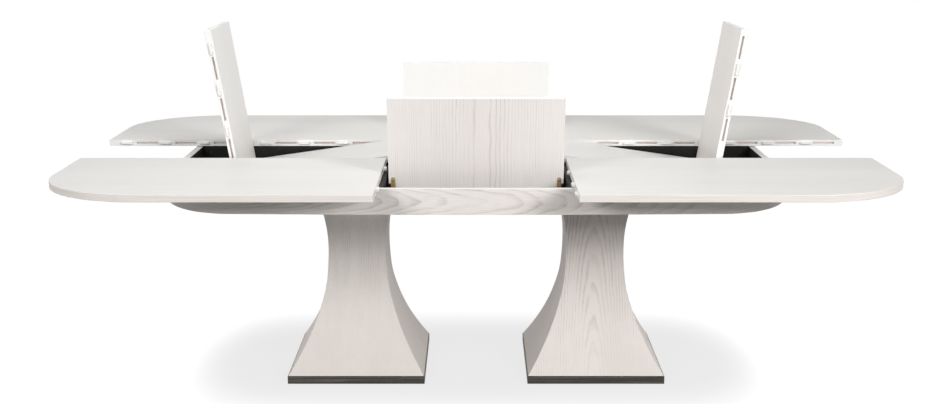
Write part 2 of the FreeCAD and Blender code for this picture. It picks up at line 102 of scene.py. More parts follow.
# %% Define the wire
class Wire:
    """One output socket of a shader tree, used like a number."""

    def __init__(self, socket):
        self.socket = socket

    def node(self, kind, settings=(), sockets=(), out=0):
        tree = self.socket.id_data
        made = tree.nodes.new(kind)
        for key, value in dict(settings).items():
            setattr(made, key, value)
        for key, value in dict(sockets).items():
            if isinstance(value, Wire):
                tree.links.new(value.socket, made.inputs[key])
            else:
                made.inputs[key].default_value = value
        return Wire(made.outputs[out]) if made.outputs else None

    def maths(self, operation, first, second=0.0):
        return self.node("ShaderNodeMath", {"operation": operation}, {0: first, 1: second})

    def __add__(self, other):
        return self.maths("ADD", self, other)

    def __radd__(self, other):
        return self.maths("ADD", other, self)

    def __sub__(self, other):
        return self.maths("SUBTRACT", self, other)

    def __rsub__(self, other):
        return self.maths("SUBTRACT", other, self)

    def __mul__(self, other):
        return self.maths("MULTIPLY", self, other)

    def __rmul__(self, other):
        return self.maths("MULTIPLY", other, self)

    def __gt__(self, other):
        return self.maths("GREATER_THAN", self, other)

    def __lt__(self, other):
        return self.maths("LESS_THAN", self, other)

    def root(self):
        return self.maths("SQRT", self)

    def size(self):
        return self.maths("ABSOLUTE", self)

    def part(self):
        return self.maths("FRACT", self)

    def larger(self, other):
        return self.maths("MAXIMUM", self, other)

    def between(self, low, high):
        """0 below low, 1 above high, and an easy slope from one to the other."""
        return self.node("ShaderNodeMapRange", {"interpolation_type": "SMOOTHSTEP"},
                         {"Value": self, "From Min": low, "From Max": high})

    def along(self, direction):
        """How far a vector reaches in one direction."""
        return self.node("ShaderNodeVectorMath", {"operation": "DOT_PRODUCT"},
                         {0: self, 1: direction}, out="Value")

    def noise(self, scale, detail=2.0, roughness=0.5):
        """Cloudy values from 0 to 1; scale is in clouds per metre, one number or one per axis."""
        if isinstance(scale, float):
            scale = (scale, scale, scale)
        stretched = self.node("ShaderNodeVectorMath", {"operation": "MULTIPLY"},
                              {0: self, 1: scale})
        return self.node("ShaderNodeTexNoise", (), {"Vector": stretched, "Scale": 1.0,
                                                   "Detail": detail, "Roughness": roughness})

    def tint(self, below, above):
        """A colour that goes from below to above as this value goes from 0 to 1."""
        return self.node("ShaderNodeMix", {"data_type": "RGBA"},
                         {0: self, 6: below, 7: above}, out=2)


print("wire methods:", [name for name in vars(Wire) if not name.startswith("_")])

# %% [markdown]
# ## Small helpers for every finish
# Each finish starts in the same way: a material, its shader and the place of a point on the table.
# Object coordinates give that place, because they stay with a piece when it moves. The other
# helpers set or link a shader's sockets, add relief to its normal and hang a finish on a solid.

# %% Start, plug and paint a finish
def colour(red, green, blue):
    return (red, green, blue, 1.0)


def start_finish(name):
    """A new material, its shader and the place of each point on its object."""
    material = bpy.data.materials.new(name)
    material.use_nodes = True
    tree = material.node_tree
    place = Wire(tree.nodes.new("ShaderNodeTexCoord").outputs["Object"])
    return material, tree.nodes["Principled BSDF"], place


def plug(shader, values):
    """Links each wire to the shader's socket of that name and sets the plain values."""
    for key, value in values.items():
        if isinstance(value, Wire):
            shader.id_data.links.new(value.socket, shader.inputs[key])
        else:
            shader.inputs[key].default_value = value


def bump(height, strength, distance, normal=None):
    """A normal with relief on it; distance is the depth in metres."""
    sockets = {"Height": height, "Strength": strength, "Distance": distance}
    if normal is not None:
        sockets["Normal"] = normal
    return height.node("ShaderNodeBump", (), sockets)


def paint(material, *names):
    """Hangs a finish on solids of the CAD model."""
    for name in names:
        slots = nodes[name].data.materials
        slots.clear()
        slots.append(material)


print("finish helpers ready")

# %% [markdown]
# ## Floor
# In the picture the floor has no end: it joins the white background. A curved sweep of paper does
# that in a studio, but its bend would show in views from the side. So this floor is one flat, pale
# square that adds white for rays from the camera. In a long pool under the table it adds less, and
# that paints a soft shadow there; the real shadow only shows faintly through it.

# %% Lay the floor
floor_half = 9.0
floor_mesh = bpy.data.meshes.new("floor")
floor_corners = [(-floor_half, -floor_half, 0), (floor_half, -floor_half, 0),
                 (floor_half, floor_half, 0), (-floor_half, floor_half, 0)]
floor_mesh.from_pydata(floor_corners, [], [(0, 1, 2, 3)])
floor = bpy.data.objects.new("floor", floor_mesh)
scene.collection.objects.link(floor)
floor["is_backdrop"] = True
print("floor laid,", 2 * floor_half, "m square")

# %% Paint it so that it joins the background, with a painted shadow under the table
def seen_rays(tree):
    """1 for rays from the camera and for what it sees in a mirror or through glass."""
    path = tree.nodes.new("ShaderNodeLightPath").outputs
    direct = Wire(path["Is Camera Ray"]).larger(Wire(path["Is Glossy Ray"]))
    return direct.larger(Wire(path["Is Transmission Ray"]))


white_in_painted_shadow = 0.79
floor_bounce = colour(0.25, 0.25, 0.25)
floor_shown = colour(0.06, 0.06, 0.06)
# The painted shadow is a long pool with soft ends under the table, where less white is added.
painted_shadow_length, painted_shadow_depth, painted_shadow_back = 0.932, 0.43, 0.02
painted_shadow_start, painted_shadow_end = 0.3, 1.95
floor_finish = bpy.data.materials.new("pale_floor")
floor_finish.use_nodes = True
floor_finish.node_tree.nodes.clear()
seen = seen_rays(floor_finish.node_tree)
ground = seen.node("ShaderNodeTexCoord", out="Object")
sideways = ground.along((1 / painted_shadow_length, 0, 0))
backwards = ground.along((0, 1 / painted_shadow_depth, 0)) - painted_shadow_back / painted_shadow_depth
across = sideways * sideways
wide = across * across
outside_painted_shadow = (wide * wide + backwards * backwards).between(painted_shadow_start, painted_shadow_end)
paper = seen.node("ShaderNodeBsdfDiffuse", (), {"Color": seen.tint(floor_bounce, floor_shown)})
# Less white inside the pool paints the soft shadow; the real one shows only faintly.
white_and_painted_shadow = seen * (outside_painted_shadow * (1 - white_in_painted_shadow) + white_in_painted_shadow)
painted_shadow_emission = seen.node("ShaderNodeEmission", (), {"Strength": white_and_painted_shadow})
lit_floor = seen.node("ShaderNodeAddShader", (), {0: paper, 1: painted_shadow_emission})
seen.node("ShaderNodeOutputMaterial", (), {"Surface": lit_floor})
floor_mesh.materials.append(floor_finish)
print("white added under the table:", white_in_painted_shadow)

# %% [markdown]
# ## Light
# A catalogue picture is lit by large soft boxes, so shadows have no hard edge. A pair stands at
# each side of the camera, the right one stronger, low enough for the top to shade only the apron
# and the upper part of the pedestals. One box hangs overhead, and one at each end fills in. A
# narrow spot near the floor reaches under the apron to the left pedestal. Three more behind the
# table serve views from there, too low to touch the top and too narrow to reach the leaves that
# face the camera. Glossy rays don't see the lamps: from behind, their mirror image would turn the
# pale top plain white.

# %% Hang the soft boxes
spot_edge, spot_radius = 0.5, 0.15


def hang(lamp, where, aim, power):
    """Places a lamp so that it shines at a point and shows in no picture or reflection."""
    lamp.energy = power
    holder = bpy.data.objects.new(lamp.name, lamp)
    holder.location = where
    holder.rotation_euler = (Vector(aim) - Vector(where)).to_track_quat("-Z", "Y").to_euler()
    holder.visible_camera = False
    holder.visible_glossy = False
    scene.collection.objects.link(holder)


def soft_box(name, where, aim, width, height, power):
    lamp = bpy.data.lights.new(name, "AREA")
    lamp.shape = "RECTANGLE"
    lamp.size = width
    lamp.size_y = height
    hang(lamp, where, aim, power)


def soft_spot(name, where, aim, cone, power):
    lamp = bpy.data.lights.new(name, "SPOT")
    lamp.spot_size = math.radians(cone)
    lamp.spot_blend = spot_edge
    lamp.shadow_soft_size = spot_radius
    hang(lamp, where, aim, power)


table_middle = (0.0, 0.0, 0.6)
soft_box("right_tall_box", (2.94, -4.05, 3.05), table_middle, 1.6, 1.4, 70.0)
soft_box("right_low_box", (2.94, -4.05, 2.15), table_middle, 1.4, 0.8, 80.0)
soft_box("left_tall_box", (-2.5, -4.3, 3.05), table_middle, 1.6, 1.4, 68.0)
soft_box("left_low_box", (-2.5, -4.3, 2.25), table_middle, 1.4, 0.8, 36.0)
soft_box("ceiling_box", (-0.28, -0.35, 2.7), (-0.2, -0.2, 0.76), 1.3, 1.0, 17.5)
soft_box("left_fill_box", (-4.8, -0.6, 1.1), (0.4, 0.0, 0.8), 2.0, 1.2, 13.5)
soft_box("right_fill_box", (4.8, -0.6, 1.1), (-0.4, 0.0, 0.8), 2.0, 1.2, 8.0)
soft_spot("low_left_spot", (-0.75, -2.0, 0.08), (-0.375, -0.1, 0.63), 9.2, 57.0)
soft_spot("rear_left_spot", (-2.2, 4.2, 0.35), (-0.5, 0.2, 0.42), 12.0, 190.0)
soft_spot("rear_right_spot", (2.2, 4.2, 0.35), (0.5, 0.2, 0.42), 12.0, 190.0)
soft_spot("rear_middle_spot", (0.0, 4.2, 0.35), (0.0, 0.45, 0.85), 13.0, 150.0)

# %% Close in the white surround
surround_light = 0.21
surround = bpy.data.worlds.new("white_surround")
scene.world = surround
surround.use_nodes = True
backdrop = surround.node_tree.nodes["Background"]
seen = seen_rays(surround.node_tree)
strength = surround_light + seen * (1 - surround_light)
plug(backdrop, {"Color": colour(1, 1, 1), "Strength": strength})
print("surround lights the table at", surround_light)

# %% [markdown]
# ## White-washed open-grain wood
# Nearly everything you see is veneer cut from open-grained wood and rubbed with white. On a flat
# board the growth rings show as near-parallel lines at the sides and as tall arches in the middle.
# Both come from one rule: a ring is a tube round the heart of the tree, and the board cuts it. So
# the pattern is the distance from a slightly tilted axis, divided into rings. Photographs of wood
# would be quicker, but they stretch on the curved panels, and this pattern never does.

# %% Growth rings, pores and fibres
# Clouds per metre along a board, across it and through it.
drift_across = 3.0
tremble_scale = (9.0, 40.0, 40.0)
patch_scale = (3.0, 35.0, 35.0)
dash_scale = (14.0, 330.0, 330.0)
pore_scale = (24.0, 1100.0, 1100.0)
fibre_scale = (6.0, 420.0, 420.0)
# Where in a ring the dark late wood is full and where it stops, and how far dashes break it up.
late_full, late_stop = 0.88, 0.89
dash_share = 0.4


def grain_space(place, along, across, centre):
    """Coordinates that run along the grain in X and across it in Y, from a centre."""
    along, across = Vector(along).normalized(), Vector(across).normalized()
    turn = Matrix((along, across, along.cross(across)))
    return place.node("ShaderNodeMapping", (), {"Vector": place, "Rotation": turn.to_euler(),
                                               "Location": -(turn @ Vector(centre))})


def oak_figure(grain, cut):
    """Returns late-wood lines, pores and fibres of a board, each from 0 to 1.

    cut gives the depth of the heart, how it tapers and wanders, the spacing of the rings, how they
    crowd together away from the heart, where in a ring the dark wood starts, and perhaps a fade:
    where on the board the lines grow faint.
    """
    run, side = grain.along((1, 0, 0)), grain.along((0, 1, 0))
    drift = grain.noise((cut["drift"], drift_across, drift_across))
    tremble = grain.noise(tremble_scale, 3.0)
    depth = run * cut["taper"] + (drift - 0.5) * cut["wander"] + cut["depth"]
    reach = (side * side + depth * depth).root()
    reach = reach + reach * reach * cut["crowding"]
    ring = (reach * (1.0 / cut["spacing"]) + (tremble - 0.5) * cut["tremble"]).part()
    late = ring.between(cut["start"], late_full) - ring.between(late_stop, 1.0)
    late = late * grain.noise(patch_scale).between(0.25, 0.70)
    dashes = grain.noise(dash_scale).between(0.35, 0.65)
    late = late * (dashes * dash_share + (1 - dash_share))
    if "fade" in cut:
        late = late * cut["fade"](run, side)
    pores = grain.noise(pore_scale, 1.0).between(0.57, 0.70)
    fibres = grain.noise(fibre_scale).between(0.35, 0.75)
    return late, pores, fibres


print("pores per metre across a board:", pore_scale[1])

# %% [markdown]
# ### White wash
# The wash is thick on the top and thinner underneath and on the base, where more of the warm wood
# comes through. It also lies unevenly, as a rag leaves it. One flat white would hide all that. A
# tone holds the colours and strengths of one wash, so each board can have its own white and still
# share the rest.

# %% Rub the wash in
wash_scale = (1.0, 5.0, 5.0)


def rubbed_white(figure, tone, cloud):
    """Colours one figure with one tone of wash; cloud is where the rag took it off again."""
    late, pores, fibres = figure
    shade = (late * tone["lines"]).tint(tone["white"], tone["line"])
    shade = (fibres * tone["fibres"]).tint(shade, tone["line"])
    shade = (pores * tone["pores"]).tint(shade, tone["pore"])
    return (cloud.between(0.4, 0.7) * tone["cloud"]).tint(shade, tone["bare"])


top_tone = {"white": colour(0.828, 0.820, 0.799), "line": colour(0.69, 0.65, 0.60),
            "pore": colour(0.60, 0.56, 0.51), "bare": colour(0.77, 0.735, 0.695),
            "lines": 0.20, "fibres": 0.08, "pores": 0.14, "cloud": 0.45}
warm_tone = {"white": colour(0.80, 0.755, 0.718), "line": colour(0.60, 0.51, 0.45),
             "pore": colour(0.50, 0.42, 0.36), "bare": colour(0.76, 0.69, 0.64),
             "lines": 0.42, "fibres": 0.18, "pores": 0.30, "cloud": 0.30}
print("whites:", top_tone["white"][:3], "and", warm_tone["white"][:3])

# %% [markdown]
# ### Rims and joint edges
# A CAD edge is perfectly sharp and a real one never is. The Bevel node looks a millimetre round
# each point and returns a rounded normal without changing the mesh. Where it differs from the true
# normal we are at an edge, so the same node also tells us where hands have rubbed the wash thin. On
# the top and the leaves the rubbed rims turn lighter than the wash: wear with a painted highlight.

# %% Put a wood finish together
# How far fibres stand up and pores and late wood lie deep, and what dulls the surface.
fibre_rise, pore_depth, line_depth = 0.35, 0.9, 0.3
pore_dull, fibre_dull, rim_dull = 0.14, 0.06, 0.08
# The satin of the bare wash, and what lacquer and polish take from relief and roughness.
satin, reflection = 0.45, 0.36
lacquer_fill, polish_fill, polish_even, polish_shine = 0.9, 0.93, 0.8, 0.06
relief_strength, relief_depth = 0.30, 0.0004
# Rims take their worn colour in scuffed patches, to this share: worn wood on the base, and on the
# top and leaves wear with a painted highlight.
scuff_scale, rim_wear_and_highlight_share = 90.0, 0.55


def rim_of(place, radius=0.0012):
    """A rounded normal, and a mask that is 1 at edges."""
    rounded = place.node("ShaderNodeBevel", {"samples": 4}, {"Radius": radius})
    true = place.node("ShaderNodeNewGeometry", out="Normal")
    return rounded, (1.0 - rounded.along(true)).between(0.02, 0.22)


def finish_wood(shader, place, shade, figure, worn, lacquer=0.0, gloss=0.0):
    """lacquer is 1 on filled and sprayed faces, gloss is 1 where the wood is polished."""
    late, pores, fibres = figure
    rounded, rim = rim_of(place)
    open_grain = 1.0 - lacquer * lacquer_fill
    rim_patches = place.noise(scuff_scale).between(0.42, 0.62)
    # Scuffed rims take the worn colour: worn wood on the base; on the top and leaves a lighter
    # white, wear with a painted highlight.
    shade = (rim * rim_patches * open_grain * rim_wear_and_highlight_share).tint(shade, worn)
    relief = fibres * fibre_rise - pores * pore_depth - late * line_depth
    relief = relief * open_grain * (1.0 - gloss * polish_fill)
    dull = (pores * pore_dull + fibres * fibre_dull) * open_grain * (1.0 - gloss * polish_even)
    dull = dull + rim * rim_dull + satin - gloss * polish_shine
    plug(shader, {"Base Color": shade, "Roughness": dull, "Specular IOR Level": reflection,
                  "Normal": bump(relief, relief_strength, relief_depth, rounded)})


def washed_board(name, along, across, centre, cut, tone, worn):
    """A finish for a board with one wash all over."""
    material, shader, place = start_finish(name)
    grain = grain_space(place, along, across, centre)
    figure = oak_figure(grain, cut)
    shade = rubbed_white(figure, tone, grain.noise(wash_scale, 3.0))
    finish_wood(shader, place, shade, figure, worn)
    return material


worn_wood = colour(0.84, 0.79, 0.74)
print("rims worn to", worn_wood[:3])

# %% [markdown]
# ### Pedestals
# Each pedestal is four panels bent to the same curve and mitred at the corners. Their veneer runs
# upwards. The left pedestal is straight-grained: the heart of its tree lies far to one side, and
# only near-parallel lines cross a panel. The right one was cut close to the heart, so a row of
# arches climbs the middle of each panel, and its rings are tilted enough to close every few
# centimetres. Two patterns could be drawn for that, but moving the heart of one pattern is enough.

# %% Dress the pedestals
fade_low, fade_high, foot_strength = 0.06, 0.42, 0.35
veneer_start = 0.02


def upwards(run, side):
    """Lines that are plain at the top of a pedestal and faint at its foot."""
    return run.between(fade_low, fade_high) * (1 - foot_strength) + foot_strength


straight_cut = {"depth": 0.060, "taper": 0.015, "wander": 0.030, "drift": 1.3, "spacing": 0.0058,
                "tremble": 0.8, "start": 0.40, "crowding": 0.0, "fade": upwards}
arched_cut = {"depth": 0.030, "taper": 0.085, "wander": 0.020, "drift": 1.6, "spacing": 0.0080,
              "tremble": 0.9, "start": 0.40, "crowding": 0.0, "fade": upwards}
straight_tone = dict(warm_tone, white=colour(0.866, 0.815, 0.771), line=colour(0.57, 0.48, 0.42),
                     lines=0.65, fibres=0.12, pores=0.10)
arched_tone = dict(warm_tone, white=colour(0.883, 0.829, 0.790), line=colour(0.54, 0.45, 0.39),
                   lines=0.90, fibres=0.08, pores=0.10)
# The side panels have a warmer white of their own, set for the light that falls on them: painted
# light.
flank_white_painted_light = colour(0.895, 0.822, 0.764)
for side, cut, tone, heart in (("left", straight_cut, straight_tone, 0.42),
                               ("right", arched_cut, arched_tone, -0.004)):
    low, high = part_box("plinth_" + side)
    middle = (low + high) / 2
    for pair, across in (("faces", (1, 0, 0)), ("flanks", (0, 1, 0))):
        centre = Vector((middle.x, middle.y, veneer_start)) + Vector(across) * heart
        wash = tone if pair == "faces" else dict(tone, white=flank_white_painted_light, lines=0.35)
        veneer = washed_board("panel_veneer_" + pair + "_" + side, (0, 0, 1), across, centre,
                              cut, wash, worn_wood)
        paint(veneer, "panel_" + pair + "_" + side)
print("pedestal panels:", [n for n in nodes if n.startswith("panel_")])

# %% [markdown]
# ### Apron
# The apron veneer runs round the table. On the ends, which wrap round the oval corners, the run is
# measured as width minus length, which keeps growing along the bend. An unwrapped band would do
# the same with more work. The inside of the apron is sprayed black, and its upper rim gets a paler
# white that is a painted highlight. The way a face points tells them from the outside.

# %% Dress the apron
apron_cut = {"depth": 0.010, "taper": 0.085, "wander": 0.030, "drift": 2.6, "spacing": 0.0064,
             "tremble": 0.8, "start": 0.40, "crowding": 0.0}
apron_tone = dict(warm_tone, white=colour(0.85, 0.815, 0.783), line=colour(0.54, 0.47, 0.42),
                  lines=0.8, cloud=0.4)
rim_painted_highlight = colour(0.90, 0.875, 0.85)
inner_black = colour(0.035, 0.034, 0.033)
apron_low, apron_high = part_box("apron_front")
apron_middle = (apron_low.z + apron_high.z) / 2
long_side_starts = {"front": -0.75, "rear": -0.85}
rim_highlight_from, inside_below = 0.7, -0.1
for side in ("front", "rear", "left", "right"):
    material, shader, place = start_finish("apron_veneer_" + side)
    if side in long_side_starts:
        run = place.along((1, 0, 0)) - long_side_starts[side]
    else:
        run = place.along((0, 1, 0)).size() - place.along((1, 0, 0)).size()
    height = place.along((0, 0, 1)) - apron_middle
    grain = place.node("ShaderNodeCombineXYZ", (), {"X": run, "Y": height})
    figure = oak_figure(grain, apron_cut)
    shade = rubbed_white(figure, apron_tone, grain.noise(wash_scale, 3.0))
    facing = place.node("ShaderNodeTexCoord", out="Normal")
    rising = facing.along((0, 0, 1))
    rim_lacquer_and_highlight = rising > rim_highlight_from
    inside = (facing.along(place) - rising * place.along((0, 0, 1))) < inside_below
    # The upward rim takes a painted highlight, and the inside is sprayed black.
    shade = inside.tint(rim_lacquer_and_highlight.tint(shade, rim_painted_highlight), inner_black)
    finish_wood(shader, place, shade, figure, worn_wood, rim_lacquer_and_highlight.larger(inside))
    paint(material, "apron_" + side)
print("apron veneer centred at", round(apron_middle, 3), "m")

# %% [markdown]
# ### Table top, leaves and their mating edges
# The upper faces carry the palest wash, the undersides a warmer one, and the outer edge a glued-on
# band with the grain lying flat. The edges that meet another part are lacquered plain white, and
# the slots cut into them show the core, pinkish and painted lighter than the wash so that their
# shade is lifted. Separate pieces for each of these would be simple to paint, but the faces of one
# board already differ by the way they point, so one material that reads its own surface direction
# does all of it.

# %% Cut the boards of the top and the leaves
bold_within, faint_from, faint_loss = 0.05, 0.15, 0.38


def near_heart(run, side):
    """Lines that are bold beside the heart of a leaf and faint towards its edges."""
    return 1.0 - side.size().between(bold_within, faint_from) * faint_loss


top_cut = {"depth": 0.070, "taper": 0.040, "wander": 0.10, "drift": 1.1, "spacing": 0.0080,
           "tremble": 0.7, "start": 0.40, "crowding": 0.0}
leaf_cut = {"depth": 0.030, "taper": 0.004, "wander": 0.003, "drift": 2.0, "spacing": 0.01556,
            "tremble": 0.9, "start": 0.58, "crowding": 3.0, "fade": near_heart}
print("ring spacing:", top_cut["spacing"], "m on the top,", leaf_cut["spacing"], "m on a leaf")

# %% Define the finish of a top board
band_scale = (5.0, 5.0, 420.0)
band_pale, band_dark = colour(0.835, 0.785, 0.745), colour(0.755, 0.695, 0.645)
lacquer_white, lacquer_grey = colour(0.90, 0.895, 0.885), colour(0.86, 0.85, 0.83)
# Rims of the top and leaves turn lighter than the wash: wear with a painted highlight.
top_rim_wear_and_highlight = colour(0.87, 0.85, 0.82)
slot_core_painted_light = colour(0.96, 0.85, 0.815)
slot_floor_depth = 0.004
# Limits on the way a face points: how much of its direction lies along the one asked for.
flat_from, edge_below, mating_from = 0.5, 0.6, 0.7


def top_board(name, along, across, centre, mating, cut=top_cut, tones=(top_tone, warm_tone)):
    """mating lists (direction, reach) of each lacquered edge; tones are for top and underside."""
    material, shader, place = start_finish(name)
    facing = place.node("ShaderNodeTexCoord", out="Normal")
    up = Vector(along).cross(Vector(across))
    grain = grain_space(place, along, across, centre)
    figure = oak_figure(grain, cut)
    cloud = grain.noise(wash_scale, 3.0)
    upper = facing.along(up)
    shade = (upper < -flat_from).tint(rubbed_white(figure, tones[0], cloud),
                                      rubbed_white(figure, tones[1], cloud))
    flat_lines = grain.noise(band_scale)
    banding = flat_lines.between(0.35, 0.7).tint(band_pale, band_dark)
    brushed = flat_lines.between(0.2, 0.9).tint(lacquer_white, lacquer_grey)
    shade = (upper.size() < edge_below).tint(shade, banding)
    lacquer = 0.0
    for direction, reach in mating:
        meets = facing.along(direction) > mating_from
        deep = (reach - place.along(direction)) > slot_floor_depth
        shade = (meets * (1.0 - deep)).tint(shade, brushed)
        # Slot floors take the core colour, made lighter than real: painted light against the slots'
        # shade.
        shade = (meets * deep).tint(shade, slot_core_painted_light)
        lacquer = meets + lacquer
    finish_wood(shader, place, shade, figure, top_rim_wear_and_highlight, lacquer, upper > flat_from)
    return material


print("slots show the core beyond", slot_floor_depth, "m")

# %% Dress the four quarters and the middle panel
quarter_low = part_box("top_rr")[0]
heart_x, heart_y, heart_z = 0.71, 0.46, 0.70
# The rear quarters have whites of their own, set for the light they get: the left one painted
# lighter, the right one warmer.
rear_whites_painted_light = {"rl": colour(0.855, 0.845, 0.82), "rr": colour(0.843, 0.82, 0.788)}
quarter_signs = {"fl": (-1, -1), "fr": (1, -1), "rl": (-1, 1), "rr": (1, 1)}
for corner, (sx, sy) in quarter_signs.items():
    mating = [((-sx, 0, 0), -quarter_low.x), ((0, -sy, 0), -quarter_low.y)]
    heart = (sx * heart_x, sy * heart_y, heart_z)
    tone = dict(top_tone, white=rear_whites_painted_light.get(corner, top_tone["white"]))
    veneer = top_board("top_veneer_" + corner, (1, 0, 0), (0, 1, 0), heart, mating,
                       tones=(tone, warm_tone))
    paint(veneer, "top_" + corner)

panel_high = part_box("centre_panel")[1]
panel_heart = (0, 0.03, heart_z)
panel_mating = [((1, 0, 0), panel_high.x), ((-1, 0, 0), panel_high.x),
                ((0, 1, 0), panel_high.y), ((0, -1, 0), panel_high.y)]
veneer = top_board("top_veneer_middle", (1, 0, 0), (0, 1, 0), panel_heart, panel_mating)
paint(veneer, "centre_panel")
print("quarters:", [n for n in nodes if n.startswith("top_")])

# %% [markdown]
# ### Leaves
# A leaf has two halves that fold like a book, and in the picture all four stand half open. The
# grain has to run along each half at its own slope. It could be measured from the mesh, but the
# joints of the CAD model already tell it. Some halves have a white of their own, set for the light
# they get: the inner halves are painted lighter against the shade that the standing halves cast,
# the undersides lighter as they face down, and the rear leaf darker where the front lamps light it
# most. The right leaf has a warmer white.

# %% Choose the whites of the leaves
headings = {"right": (1, 0, 0), "rear": (0, 1, 0), "left": (-1, 0, 0), "front": (0, -1, 0)}
upright = Vector((0, 0, 1))
leaf_tone = dict(top_tone, white=colour(0.827, 0.813, 0.797))
# The inner halves are painted lighter against the shade cast on them by the standing halves.
inner_painted_light_tone = dict(top_tone, white=colour(0.864, 0.856, 0.840))
# The rear leaf is painted darker where the front lamps light it most; the right leaf is warmer.
leaf_tones_and_painted_shade = {"rear": dict(top_tone, white=colour(0.768, 0.758, 0.743)),
              "right": dict(top_tone, white=colour(0.835, 0.804, 0.776))}
# The undersides are painted lighter, as they face down, and carry bolder lines.
leaf_under_tone_and_painted_light = dict(warm_tone, white=colour(0.862, 0.827, 0.797), line=colour(0.60, 0.50, 0.45),
                       lines=0.8, fibres=0.10, pores=0.16)
print("leaves with a white of their own:", list(leaf_tones_and_painted_shade))

# %% Dress the leaves, each along its own slope
heart_aside, heart_above = 0.018, 0.05
leaf_frames = {}
for side, outward in headings.items():
    outward = Vector(outward)
    across = upright.cross(outward)
    dip = math.radians(joints["rise_" + side]["range_deg"][1])
    bend = math.radians(joints["fold_" + side]["range_deg"][1])
    lean = math.pi / 2 + dip - bend
    inner_along = outward * math.cos(dip) - upright * math.sin(dip)
    outer_along = outward * math.sin(lean) + upright * math.cos(lean)
    fold = Vector(joints["fold_" + side]["pos_m"])
    low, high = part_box("leaf_outer_" + side)
    half = max(abs(low.dot(across)), abs(high.dot(across)))
    leaf_frames[side] = {"fold": fold, "along": outer_along, "across": across, "half": half,
                         "under": -outer_along.cross(across)}
    edges = [(across, half), (-across, half)]
    for half_name, along in (("inner", inner_along), ("outer", outer_along)):
        heart = fold + across * heart_aside + along.cross(across) * heart_above
        mating = edges + [(along, 0.0)]
        # Each half takes its white, with the painted light and shade set above.
        upper_tone_and_painted_light = inner_painted_light_tone if half_name == "inner" else leaf_tones_and_painted_shade.get(side, leaf_tone)
        veneer = top_board("leaf_veneer_" + half_name + "_" + side, along, across, heart, mating,
                           leaf_cut, (upper_tone_and_painted_light, leaf_under_tone_and_painted_light))
        paint(veneer, "leaf_" + half_name + "_" + side)
    print(side, "leaf leans and dips by", [round(math.degrees(turn), 1) for turn in (lean, dip)])

# %% [markdown]
# ## Black lining of the well
# The leaves stow in a well with black walls. It is painted board: nearly black, a little dusty on
# faces that look up, with a fine orange-peel from the spray gun. Dust is chosen by direction, and
# the peel is a small noise used only for bump.

# %% Spray the lining
lining_black, lining_grey = colour(0.013, 0.012, 0.012), colour(0.022, 0.021, 0.021)
lining_dust, lining_edge = colour(0.09, 0.086, 0.082), colour(0.12, 0.115, 0.11)
material, shader, place = start_finish("black_lining")
peel = place.noise(420.0)
cloud = place.noise(9.0, 4.0)
facing = place.node("ShaderNodeTexCoord", out="Normal")
dust = facing.along((0, 0, 1)).between(0.2, 0.9) * cloud.between(0.35, 0.75)
rounded, rim = rim_of(place)
shade = (cloud * 0.6).tint(lining_black, lining_grey)
shade = (dust * 0.25).tint(shade, lining_dust)
shade = (rim * cloud.between(0.3, 0.6) * 0.3).tint(shade, lining_edge)
plug(shader, {"Base Color": shade, "Roughness": cloud * 0.2 + dust * 0.2 + 0.46,
              "Specular IOR Level": 0.25, "Normal": bump(peel, 0.12, 0.0005, rounded)})
lined = ["partitions", "well_floor", "centre_bearers"]
paint(material, *lined)
print("lined:", lined)

# %% [markdown]
# ## Metals
# Five metals are in sight: brass hinges, bright steel screws and rods, galvanised slides, blackened
# screws in the lining and the dark bronze-coloured plinths. All are the same recipe with other
# numbers: a base colour, a cloud of tarnish, fine scratches that change the roughness, and edges
# rubbed brighter.

# %% Mix the metals
def metal(name, clean, stained, bright, roughness, stretch, metallic=1.0, stain=0.5, brushed=0.3):
    """stretch is the scale of the scratches; stain and brushed say how strongly each shows."""
    material, shader, place = start_finish(name)
    cloud = place.noise(35.0, 4.0, 0.6)
    scratch = place.noise(stretch, 2.0, 0.6)
    rounded, rim = rim_of(place, 0.0008)
    shade = (cloud.between(0.4, 0.75) * stain).tint(clean, stained)
    shade = (scratch.between(0.45, 0.8) * brushed).tint(shade, bright)
    shade = (rim * cloud.between(0.25, 0.6) * 0.7).tint(shade, bright)
    plug(shader, {"Base Color": shade, "Metallic": metallic,
                  "Roughness": cloud * 0.16 + scratch * 0.14 + roughness,
                  "Normal": bump(scratch, 0.10, 0.0003, rounded)})
    return material


brass = metal("brass", colour(0.80, 0.56, 0.24), colour(0.46, 0.29, 0.10),
              colour(0.92, 0.74, 0.42), roughness=0.30, stretch=(700.0, 700.0, 120.0),
              metallic=0.55)
steel = metal("steel", colour(0.62, 0.62, 0.61), colour(0.38, 0.37, 0.36),
              colour(0.82, 0.82, 0.82), roughness=0.24, stretch=500.0)
zinc = metal("galvanised_slide", colour(0.56, 0.57, 0.58), colour(0.40, 0.41, 0.42),
             colour(0.75, 0.76, 0.77), roughness=0.32, stretch=60.0)
blackened = metal("blackened_steel", colour(0.10, 0.10, 0.10), colour(0.05, 0.05, 0.05),
                  colour(0.30, 0.30, 0.30), roughness=0.34, stretch=500.0)
bronze = metal("bronze_plinth", colour(0.056, 0.049, 0.043), colour(0.036, 0.032, 0.028),
               colour(0.215, 0.19, 0.168), roughness=0.36, stretch=(3.0, 3.0, 260.0), metallic=0.45,
               stain=0.6, brushed=0.75)
print("metals:", [m.name for m in (brass, steel, zinc, blackened, bronze)])

# %% Hang the metals on their solids
for side in headings:
    paint(brass, "strap_inner_" + side, "strap_outer_" + side)
    paint(steel, "pivot_" + side)
for corner in quarter_signs:
    paint(zinc, "carriage_" + corner, "runners_" + corner)
paint(zinc, "slide_rails")
paint(steel, "tie_rods", "pan_screws")
paint(bronze, "plinth_left", "plinth_right")
print("leaves with brass hinges:", list(headings))

